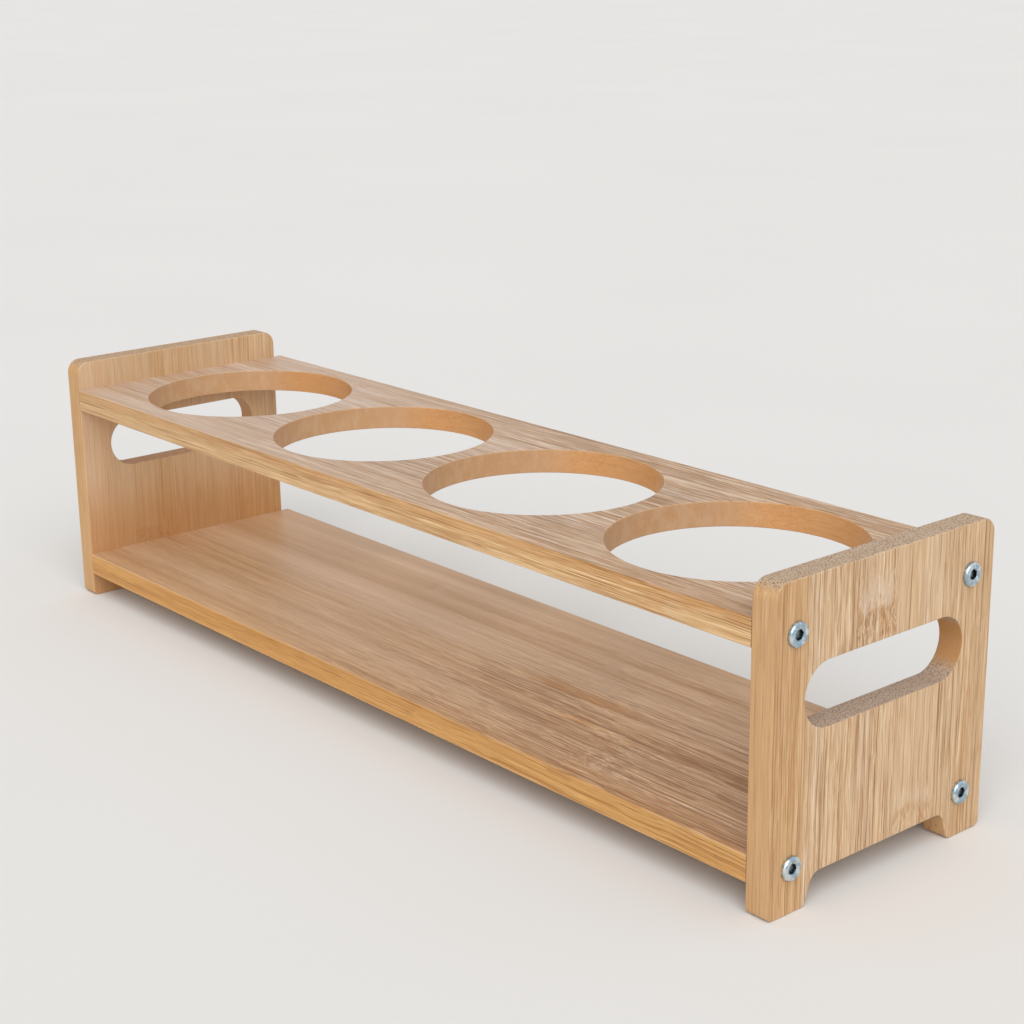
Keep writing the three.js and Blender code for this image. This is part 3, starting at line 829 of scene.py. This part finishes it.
def bamboo_material(name, order, settings, look):
    """Bamboo whose grain runs along one axis of the rack; look holds what is this piece's own."""
    material, sheet = new_material(name)
    skin = sheet.node("ShaderNodeTexCoord").outputs
    spot = sheet.split(sheet.vector("SCALE", skin["Object"], 1.0 / MM))
    grain = sheet.join(*(spot[axis] for axis in order))
    along, across = sheet.split(grain)[:2]
    facing = sheet.split(sheet.vector("ABSOLUTE", skin["Normal"]))
    marks = {
        "Facing": sheet.join(*(facing[axis] for axis in order)),
        "Arris": sheet.attribute("arris"), "Routed": sheet.attribute("routed"),
        "Ramp": sheet.ease(along, *look["ramp"]),
    }
    for place, half_width, reach, strength in look["knuckles"]:
        knuckle = sheet.group("bamboo_knuckle", {
            "Grain": grain, "Place": place, "Half Width": half_width, "Reach": reach, "Strength": strength})
        for mark in (*KNUCKLE_MARKS, "Bend"):
            marks[mark] = sheet.most(marks[mark], knuckle[mark]) if mark in marks else knuckle[mark]
    wiggle = sheet.vector(
        "SCALE", sheet.jitter(grain, WIGGLE_SCALES, detail=2.0), sheet.times(marks.pop("Bend"), look["bend"]))
    fibres = sheet.group("bamboo_fibres", {
        "Grain": sheet.vector("ADD", grain, wiggle), "Drift": look["drift"], "Fineness": look["fineness"]})
    strips = sheet.group("bamboo_strips", {
        "Grain": grain, "Strip Width": settings.strip_width, "Strip Offset": look["strip_offset"],
        "Glue Level": look["glue_level"], "Routed": marks["Routed"]})
    marks.update({mark: fibres[mark] for mark in FIBRE_MARKS})
    marks.update({mark: strips[mark] for mark in STRIP_MARKS})
    marks["Warm Strip"] = sheet.math("COMPARE", strips["Strip"], look["warm_strip"], SAME_STRIP)
    calm_from, calm_to, calmest = look["calm_back"]
    marks["Contrast"] = sheet.ease(across, calm_from, calm_to, look["contrast"], look["contrast"] * calmest)
    own = {title(key): look[key] for key in LOOK_TINTS + LOOK_VALUES}
    colours = {title(key): getattr(settings, key) for key in BAMBOO_COLOURS}
    finish = sheet.group("bamboo_colour", {**marks, **own, **colours})
    wood = finish["Color"]
    for stain in look["stains"]:
        wood = sheet.tinted(stain_mask(sheet, grain, *stain), wood, settings.stain)
    sheet.surface({
        "Base Color": wood, "Roughness": finish["Roughness"], "IOR": WOOD_IOR,
        "Specular IOR Level": WOOD_GLOSS, "Normal": sheet.bump(finish["Height"], **WOOD_BUMP)})
    return material


# What is each piece's own. A knuckle is its place, half width, reach and strength. A stain is its place, half
# length, half width and strength. calm_back is where across the grain the contrast starts to change and where
# it is done, and the share it comes to. ramp is where along the grain the low look starts to go and is gone
ONE_LAYER = 500.0
PLAIN_LOOK = {"glue_level": ONE_LAYER, "upper_tone": 0.0, "scuffing": 0.0, "stains": ()}
# side_tint: painted warm bounce light on the panel's front and back edges
PANEL_LOOK = {
    **PLAIN_LOOK,
    "knuckles": (((95.0, -8.0, 224.0), 11.0, 10.5, 1.0), ((19.0, 15.5, 224.0), 12.0, 7.0, 0.55)),
    "bend": 4.0, "drift": 0.6, "fineness": 1.1, "strip_offset": 41.5, "warm_strip": -1.0,
    "contrast": 1.45, "calm_back": (-60.0, 60.0, 1.0), "side_contrast": 0.55, "ramp": (0.0, 115.0),
    "low_contrast": 1.0, "hue_swing": 1.2, "band_tone": 0.05, "routed_dots": 0.9,
    "face_light_tint": (0.99, 0.99, 1.01), "low_light_tint": WHITE, "warm_tint": (0.98, 0.91, 0.81),
    "side_tint": (0.97, 0.85, 0.705), "low_side_tint": WHITE, "end_tint": (0.83, 0.885, 1.04),
    "routed_tint": (0.79, 0.69, 0.57), "routed_end_tint": (0.92, 0.97, 1.08),
}
# low_light_tint: painted shade on the panel's lower part; side_tint: painted warm bounce light on its edges
LEFT_PANEL_LOOK = {
    **PANEL_LOOK,
    "knuckles": (((27.0, -23.0, -216.0), 10.0, 6.0, 0.3),),
    "contrast": 0.6, "ramp": (28.0, 64.0), "low_contrast": 0.7, "hue_swing": 0.9, "routed_dots": 0.5,
    "low_light_tint": (0.87, 0.69, 0.515), "warm_tint": (1.04, 1.03, 1.06), "side_tint": (0.96, 0.825, 0.625),
    "end_tint": (0.83, 0.80, 0.83), "routed_end_tint": (0.97, 0.80, 0.63),
}
# face_light_tint: painted cool reflection on the flat faces, stronger towards the far end by low_light_tint;
# side_tint: painted light on the front edge; low_side_tint darkens that edge towards the far end
BOARD_LOOK = {
    **PLAIN_LOOK, "glue_level": 98.3, "upper_tone": -0.06, "scuffing": 0.22,
    "knuckles": (((176.0, -57.0, 99.0), 9.0, 9.0, 0.3), ((-128.0, 40.0, 99.0), 9.0, 9.0, 0.4)),
    "bend": 2.0, "drift": 0.4, "fineness": 1.2, "strip_offset": 53.5, "warm_strip": -1.0,
    "contrast": 2.25, "calm_back": (-45.0, 45.0, 1.1), "side_contrast": 1.5, "ramp": (-215.0, 190.0),
    "low_contrast": 0.35, "hue_swing": 0.8, "band_tone": 0.2, "routed_dots": 0.1,
    "face_light_tint": (0.93, 0.94, 1.05), "low_light_tint": (1.04, 1.11, 1.285), "warm_tint": (1.06, 0.89, 0.66),
    "side_tint": (1.19, 1.15, 1.03), "low_side_tint": (0.87, 0.84, 0.81), "end_tint": (0.92, 0.90, 0.92),
    "routed_tint": (0.90, 0.72, 0.575), "routed_end_tint": (0.90, 0.79, 0.67),
}
# face_light_tint: painted shade on the shelf's flat faces under the board; low_light_tint: painted cool
# reflection towards the far end; side_tint: painted warm bounce light on the edges
SHELF_LOOK = {
    **PLAIN_LOOK,
    "knuckles": (((125.0, -36.0, 19.0), 13.0, 14.0, 0.4), ((-63.0, 33.0, 19.0), 9.0, 6.0, 0.25)),
    "stains": (((80.0, -3.0, 19.0), 42.0, 5.5, 1.0), ((97.0, -22.0, 19.0), 18.0, 3.0, 0.8)),
    "bend": 8.0, "drift": 0.9, "fineness": 1.15, "strip_offset": 25.0, "warm_strip": -2.0,
    "contrast": 2.5, "calm_back": (-30.0, 15.0, 0.42), "side_contrast": 0.95, "ramp": (-120.0, 190.0),
    "low_contrast": 0.28, "hue_swing": 0.5, "band_tone": 0.45, "routed_dots": 1.0,
    "face_light_tint": (0.90, 0.825, 0.785), "low_light_tint": (1.025, 1.04, 1.08), "warm_tint": (0.985, 0.975, 0.965),
    "side_tint": (1.045, 0.855, 0.525), "low_side_tint": (0.93, 0.85, 0.72), "end_tint": (0.86, 0.84, 0.86),
    "routed_tint": WHITE, "routed_end_tint": WHITE,
}
UPRIGHT_GRAIN, LONG_GRAIN = (2, 1, 0), (0, 1, 2)
BAMBOO_LOOKS = {
    "right_panel_bamboo": (UPRIGHT_GRAIN, PANEL_LOOK), "left_panel_bamboo": (UPRIGHT_GRAIN, LEFT_PANEL_LOOK),
    "bottle_board_bamboo": (LONG_GRAIN, BOARD_LOOK), "bottom_shelf_bamboo": (LONG_GRAIN, SHELF_LOOK),
}
BAMBOO_GROUPS = {
    "bamboo_fibres": bamboo_fibres_group, "bamboo_strips": bamboo_strips_group,
    "bamboo_knuckle": bamboo_knuckle_group, "bamboo_colour": bamboo_colour_group,
}


def bamboo(name, settings):
    """The bamboo of one piece."""
    for group, build in BAMBOO_GROUPS.items():
        if group not in bpy.data.node_groups:
            build()
    order, look = BAMBOO_LOOKS[name]
    return bamboo_material(name, order, settings, look)


# Screws

ZINC_CLOUDS, ZINC_GRIT = (550.0,) * 3, (4000.0,) * 3
ZINC_PALE_LEVELS = (0.38, 0.66)
ZINC_ROUGHNESS, ZINC_CLOUD_ROUGHNESS = 0.2, 0.18
ZINC_BUMP = {"strength": 0.12, "distance": 0.05 * MM}
SCREW_STEPS = 48
TURN_BETWEEN_SCREWS = 2.4
SMOOTH_ANGLE = math.radians(35)
# The thread: rings to a turn, half the ridge and the run-in in turns, and the tip as a share of the width
TURN_RINGS, HALF_RIDGE, RUN_IN, TIP_WIDTH = 8, 0.28, 0.5, 0.3
HEAD_CHAMFER = 0.15 * MM
DOME_STEPS = 8
LIP_SHARE, LIP_DROP = 0.7, 0.05 * MM
# The socket's walls: depth of a ring under the head's flat and the painted shade there; then the bottom's rim
# and pit
WALL_SHADE, RIM_SHADE = ((0.45 * MM, 0.3), (0.6 * MM, 0.9)), 0.95
PIT_WIDTH, PIT_DEPTH, PIT_SHADE = 0.4, 0.15 * MM, 0.6


def zinc_material(settings):
    """Bright zinc plate with a blue cast, in pale clouds that are partly uneven plating and partly painted
    reflection; painted shade darkens the socket.
    """
    material, sheet = new_material("zinc_plate")
    spot = sheet.node("ShaderNodeTexCoord").outputs["Object"]
    cloud = sheet.noise(spot, ZINC_CLOUDS, detail=3.0)
    # Pale clouds on the plate: partly uneven plating, partly painted reflection
    plate = sheet.mix(sheet.ease(cloud, *ZINC_PALE_LEVELS), settings.zinc, settings.zinc_pale)
    # Painted shade in the socket, laid on by the shade values of the rings
    plate = sheet.mix(sheet.attribute("shade"), plate, settings.socket_shade)
    rough = sheet.plus(sheet.times(cloud, ZINC_CLOUD_ROUGHNESS), ZINC_ROUGHNESS)
    normal = sheet.bump(sheet.noise(spot, ZINC_GRIT), **ZINC_BUMP)
    sheet.surface({"Base Color": plate, "Roughness": rough, "Metallic": 1.0, "Normal": normal})
    return material


def hex_reach(angle, across_flats):
    """Distance from the middle of a hexagon to its side at an angle."""
    sixth = math.pi / 3
    return across_flats / 2 / math.cos(angle % sixth - sixth / 2)


def thread_radius(depth, angle, total, settings):
    """Radius of the shank at a depth under the head and an angle round it."""
    major, core = settings.shank_diameter / 2, settings.core_diameter / 2
    if depth <= settings.plain_length:
        return major
    turn = (depth / settings.thread_pitch - angle / math.tau) % 1.0
    ridge = max(0.0, 1.0 - abs(turn - 0.5) / HALF_RIDGE)
    run_in = min(1.0, (depth - settings.plain_length) / (RUN_IN * settings.thread_pitch))
    cut = core + (major - core) * ridge
    radius = major + (cut - major) * run_in
    left = (total - depth) / settings.tip_length
    return radius * (TIP_WIDTH + (1 - TIP_WIDTH) * min(1.0, left))


def screw_rings(node, seat, side, settings):
    """Rings of a screw from its tip to the bottom of its socket: (radius, height) all round, and painted
    shade.
    """
    low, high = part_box(node)
    tip = seat - low.x if side > 0 else high.x - seat
    top, rim = settings.head_height, settings.head_rim
    head, flat = settings.head_diameter / 2, settings.flat_diameter / 2
    angles = [math.tau * step / SCREW_STEPS for step in range(SCREW_STEPS)]
    rings = []
    rows = int(tip / (settings.thread_pitch / TURN_RINGS))
    for row in range(rows + 1):
        depth = tip * (1 - row / rows)
        rings.append(([(thread_radius(depth, angle, tip, settings), -depth) for angle in angles], 0.0))
    profile = [(head - HEAD_CHAMFER, 0.0), (head, HEAD_CHAMFER), (head, rim - HEAD_CHAMFER)]
    for step in range(DOME_STEPS + 1):
        angle = QUARTER * step / DOME_STEPS
        profile.append((flat + (head - flat) * math.cos(angle), rim + (top - rim) * math.sin(angle)))
    lip = settings.socket_width * LIP_SHARE
    profile += [(lip + HEAD_CHAMFER, top), (lip, top - LIP_DROP)]
    rings += [([(radius, height)] * SCREW_STEPS, 0.0) for radius, height in profile]
    hexagon = [hex_reach(angle, settings.socket_width) for angle in angles]
    # Painted shade on the socket's walls grows with depth; the pit is lighter again
    for depth, shade in (*WALL_SHADE, (settings.socket_depth, RIM_SHADE)):
        rings.append(([(reach, top - depth) for reach in hexagon], shade))
    pit = top - settings.socket_depth - PIT_DEPTH
    rings.append(([(PIT_WIDTH * reach, pit) for reach in hexagon], PIT_SHADE))
    return rings


def build_screw(node, seat, side, turn, settings):
    """One screw: threaded shank, domed head and hex socket, in one closed mesh."""
    low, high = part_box(node)
    middle = Vector((seat, (low.y + high.y) / 2, (low.z + high.z) / 2))
    bm = bmesh.new()
    shade_layer = bm.verts.layers.float.new("shade")
    loops = []
    for ring, shade in screw_rings(node, seat, side, settings):
        loop = []
        for step, (radius, height) in enumerate(ring):
            angle = math.tau * step / SCREW_STEPS + turn
            offset = Vector((side * height, radius * math.cos(angle), radius * math.sin(angle)))
            vertex = bm.verts.new(middle + offset)
            vertex[shade_layer] = shade
            loop.append(vertex)
        loops.append(loop)
    for lower, upper in zip(loops, loops[1:]):
        for i in range(SCREW_STEPS):
            j = (i + 1) % SCREW_STEPS
            bm.faces.new((lower[i], lower[j], upper[j], upper[i]))
    bm.faces.new(loops[0])
    bm.faces.new(loops[-1])
    bmesh.ops.recalc_face_normals(bm, faces=bm.faces)
    for edge in bm.edges:
        edge.smooth = edge.calc_face_angle(0.0) < SMOOTH_ANGLE
    mesh = bpy.data.meshes.new(node + "_bolt")
    bm.to_mesh(mesh)
    bm.free()
    mesh.polygons.foreach_set("use_smooth", [True] * len(mesh.polygons))
    return put_object(node + "_bolt", mesh)


# Operators

class RACK_OT_end_panels(bpy.types.Operator):
    """Build both end panels with their hand slots, feet and screw bores"""
    bl_idname = "rack.end_panels"
    bl_label = "End Panels"

    def execute(self, context):
        rack = context.scene.bottle_rack
        size = rack.panel
        board_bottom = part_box(BOTTLE_BOARD)[0].z
        slot_middle = board_bottom - size.slot_below_board - size.slot_height / 2
        bore = rack.screw.shank_diameter / 2 + rack.screw.bore_clearance
        for end, node in PANELS.items():
            low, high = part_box(node)
            middle = (low.y + high.y) / 2
            arch_low = (high.y - low.y) / 2 - size.foot_width
            arch_top = arch_low - size.foot_splay
            ground, rise = low.z, low.z + size.arch_height
            outline = cornered_outline([
                (low.y, ground, size.foot_radius),
                (middle - arch_low, ground, size.foot_radius),
                (middle - arch_top, rise, size.arch_radius),
                (middle + arch_top, rise, size.arch_radius),
                (middle + arch_low, ground, size.foot_radius),
                (high.y, ground, size.foot_radius),
                (high.y, high.z, size.corner_radius),
                (low.y, high.z, size.corner_radius),
            ], CORNER_STEPS)
            slot = slot_outline((middle, slot_middle), size.slot_length, size.slot_height)
            plate = Plate(high.x - low.x, standing_place(low, high))
            plate.wall(outline, size.edge_round)
            plate.wall(slot, size.slot_ease, routed=1.0)
            for level in LEVELS:
                for y, z in screw_axes(level, end):
                    plate.through_bore(y, z, bore)
            piece = plate.finish(f"{end}_panel_bamboo")
            mount_piece(piece, node, bamboo(piece.name, rack.bamboo))
        return {"FINISHED"}


def build_board(node, level, holes, rack):
    """A board with rounded long edges, round holes and pilot bores in its square ends."""
    low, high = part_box(node)
    size = rack.board
    middle = (low.z + high.z) / 2
    plate = Plate(high.z - low.z, lying_place(low, high))
    rims = plate.long_edges(low, high, size.edge_round)
    for x in holes:
        plate.wall(circle_outline((x, 0.0), size.hole_diameter / 2, HOLE_STEPS), size.hole_ease, routed=1.0)
    screw_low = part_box(f"screw_right_{level}_front")[0]
    depth = high.x - screw_low.x + rack.screw.bore_clearance
    bore = rack.screw.shank_diameter / 2 + rack.screw.bore_clearance
    bores = [(y, z - middle) for y, z in screw_axes(level)]
    for end_x, rim in rims:
        plate.square_end(end_x, rim, bores, bore, depth)
    piece = plate.finish(f"{node}_bamboo")
    mount_piece(piece, node, bamboo(piece.name, rack.bamboo))


class RACK_OT_bottle_board(bpy.types.Operator):
    """Build the top board with its row of bottle holes"""
    bl_idname = "rack.bottle_board"
    bl_label = "Bottle Board"

    def execute(self, context):
        rack = context.scene.bottle_rack
        pitch = rack.board.hole_diameter + rack.board.hole_web
        count = rack.board.hole_count
        holes = [(index - (count - 1) / 2) * pitch for index in range(count)]
        build_board(BOTTLE_BOARD, "top", holes, rack)
        return {"FINISHED"}


class RACK_OT_bottom_shelf(bpy.types.Operator):
    """Build the plain shelf that the bottles stand on"""
    bl_idname = "rack.bottom_shelf"
    bl_label = "Bottom Shelf"

    def execute(self, context):
        build_board(BOTTOM_SHELF, "bottom", [], context.scene.bottle_rack)
        return {"FINISHED"}


class RACK_OT_screws(bpy.types.Operator):
    """Build the eight hex-socket screws"""
    bl_idname = "rack.screws"
    bl_label = "Screws"

    def execute(self, context):
        settings = context.scene.bottle_rack.screw
        zinc = zinc_material(settings)
        for index, node in enumerate(SCREWS):
            side = 1 if "_right_" in node else -1
            panel_low, panel_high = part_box(PANELS["right" if side > 0 else "left"])
            seat = panel_high.x if side > 0 else panel_low.x
            piece = build_screw(node, seat, side, TURN_BETWEEN_SCREWS * index, settings)
            mount_piece(piece, node, zinc)
        return {"FINISHED"}


FLOOR_SIDES, FLOOR_RADIUS = 128, 14.0
FLOOR_MOTTLE, MOTTLE_LEVELS, MOTTLE_SHADE = (3.0,) * 3, (0.3, 0.7), 0.985
FLOOR_ROUGHNESS, FLOOR_GLOSS = 0.85, 0.1
KEY_DIRECTION = (-0.60, 0.50, -0.68)
KEY_SPREAD = math.radians(60)
SENSOR_WIDTH = 36.0
FARTHEST_SEEN = 100.0


class RACK_OT_stage(bpy.types.Operator):
    """Set up the floor, the soft light and the camera"""
    bl_idname = "rack.stage"
    bl_label = "Stage"

    def execute(self, context):
        stage = context.scene.bottle_rack.stage
        self.floor(stage)
        self.light(context.scene, stage)
        self.camera(context.scene, stage)
        context.scene.view_settings.view_transform = "Standard"
        return {"FINISHED"}

    def floor(self, stage):
        bm = bmesh.new()
        bmesh.ops.create_circle(bm, cap_ends=True, segments=FLOOR_SIDES, radius=FLOOR_RADIUS)
        mesh = bpy.data.meshes.new("studio_floor")
        bm.to_mesh(mesh)
        bm.free()
        material, sheet = new_material("floor_paper")
        spot = sheet.node("ShaderNodeTexCoord").outputs["Object"]
        mottle = sheet.ease(sheet.noise(spot, FLOOR_MOTTLE), *MOTTLE_LEVELS)
        paper = sheet.mix(mottle, [part * MOTTLE_SHADE for part in stage.floor], stage.floor)
        sheet.surface({"Base Color": paper, "Roughness": FLOOR_ROUGHNESS, "Specular IOR Level": FLOOR_GLOSS})
        mesh.materials.append(material)
        floor = put_object("studio_floor", mesh)

    def light(self, scene, stage):
        world = bpy.data.worlds.new("studio_sky")
        scene.world = world
        world.use_nodes = True
        world.node_tree.nodes.clear()
        sheet = Sheet(world.node_tree)
        even = sheet.node("ShaderNodeBackground", {"Color": WHITE, "Strength": stage.sky})
        seen = sheet.node("ShaderNodeBackground", {"Color": stage.backdrop, "Strength": 1.0})
        path = sheet.node("ShaderNodeLightPath").outputs
        shown = sheet.most(path["Is Camera Ray"], path["Is Glossy Ray"], path["Is Transmission Ray"])
        mixed = sheet.node("ShaderNodeMixShader", {0: shown, 1: even.outputs[0], 2: seen.outputs[0]})
        sheet.node("ShaderNodeOutputWorld", {"Surface": mixed.outputs[0]})
        lamp = bpy.data.lights.new("soft_key", "SUN")
        lamp.energy = stage.key
        lamp.angle = KEY_SPREAD
        key = put_object("soft_key", lamp)
        key.rotation_euler = Vector(KEY_DIRECTION).to_track_quat("-Z", "Y").to_euler()

    def camera(self, scene, stage):
        lens = bpy.data.cameras.new("photo_camera")
        lens.lens = stage.lens
        lens.sensor_width = SENSOR_WIDTH
        lens.clip_end = FARTHEST_SEEN
        camera = put_object("photo_camera", lens)
        turn = Vector(stage.look).to_track_quat("-Z", "Y").to_matrix()
        turn = turn @ Matrix.Rotation(stage.roll, 3, "Z")
        camera.matrix_world = Matrix.Translation(stage.eye) @ turn.to_4x4()
        scene.camera = camera


PIECE_OPERATORS = [
    RACK_OT_end_panels, RACK_OT_bottle_board, RACK_OT_bottom_shelf, RACK_OT_screws, RACK_OT_stage,
]


class RACK_PT_sidebar(bpy.types.Panel):
    """Lists the rack's pieces and its stage"""
    bl_idname = "RACK_PT_sidebar"
    bl_label = "Bottle Rack"
    bl_space_type = "VIEW_3D"
    bl_region_type = "UI"
    bl_category = "Bottle Rack"

    def draw(self, context):
        layout = self.layout
        for operator in PIECE_OPERATORS:
            layout.operator(operator.bl_idname)
        rack = context.scene.bottle_rack
        for group in (rack.panel, rack.board, rack.screw, rack.bamboo, rack.stage):
            column = layout.column(align=True)
            for name in group.__annotations__:
                column.prop(group, name)


CLASSES = [
    RackPanelSettings, RackBoardSettings, RackScrewSettings, RackBambooSettings, RackStageSettings,
    RackSettings, *PIECE_OPERATORS, RACK_PT_sidebar,
]


def register():
    for cls in CLASSES:
        bpy.utils.register_class(cls)
    bpy.types.Scene.bottle_rack = PointerProperty(type=RackSettings)


def unregister():
    del bpy.types.Scene.bottle_rack
    for cls in reversed(CLASSES):
        bpy.utils.unregister_class(cls)


def main():
    register()
    bpy.ops.rack.end_panels()
    bpy.ops.rack.bottle_board()
    bpy.ops.rack.bottom_shelf()
    bpy.ops.rack.screws()
    bpy.ops.rack.stage()


if __name__ == "__main__":
    main()
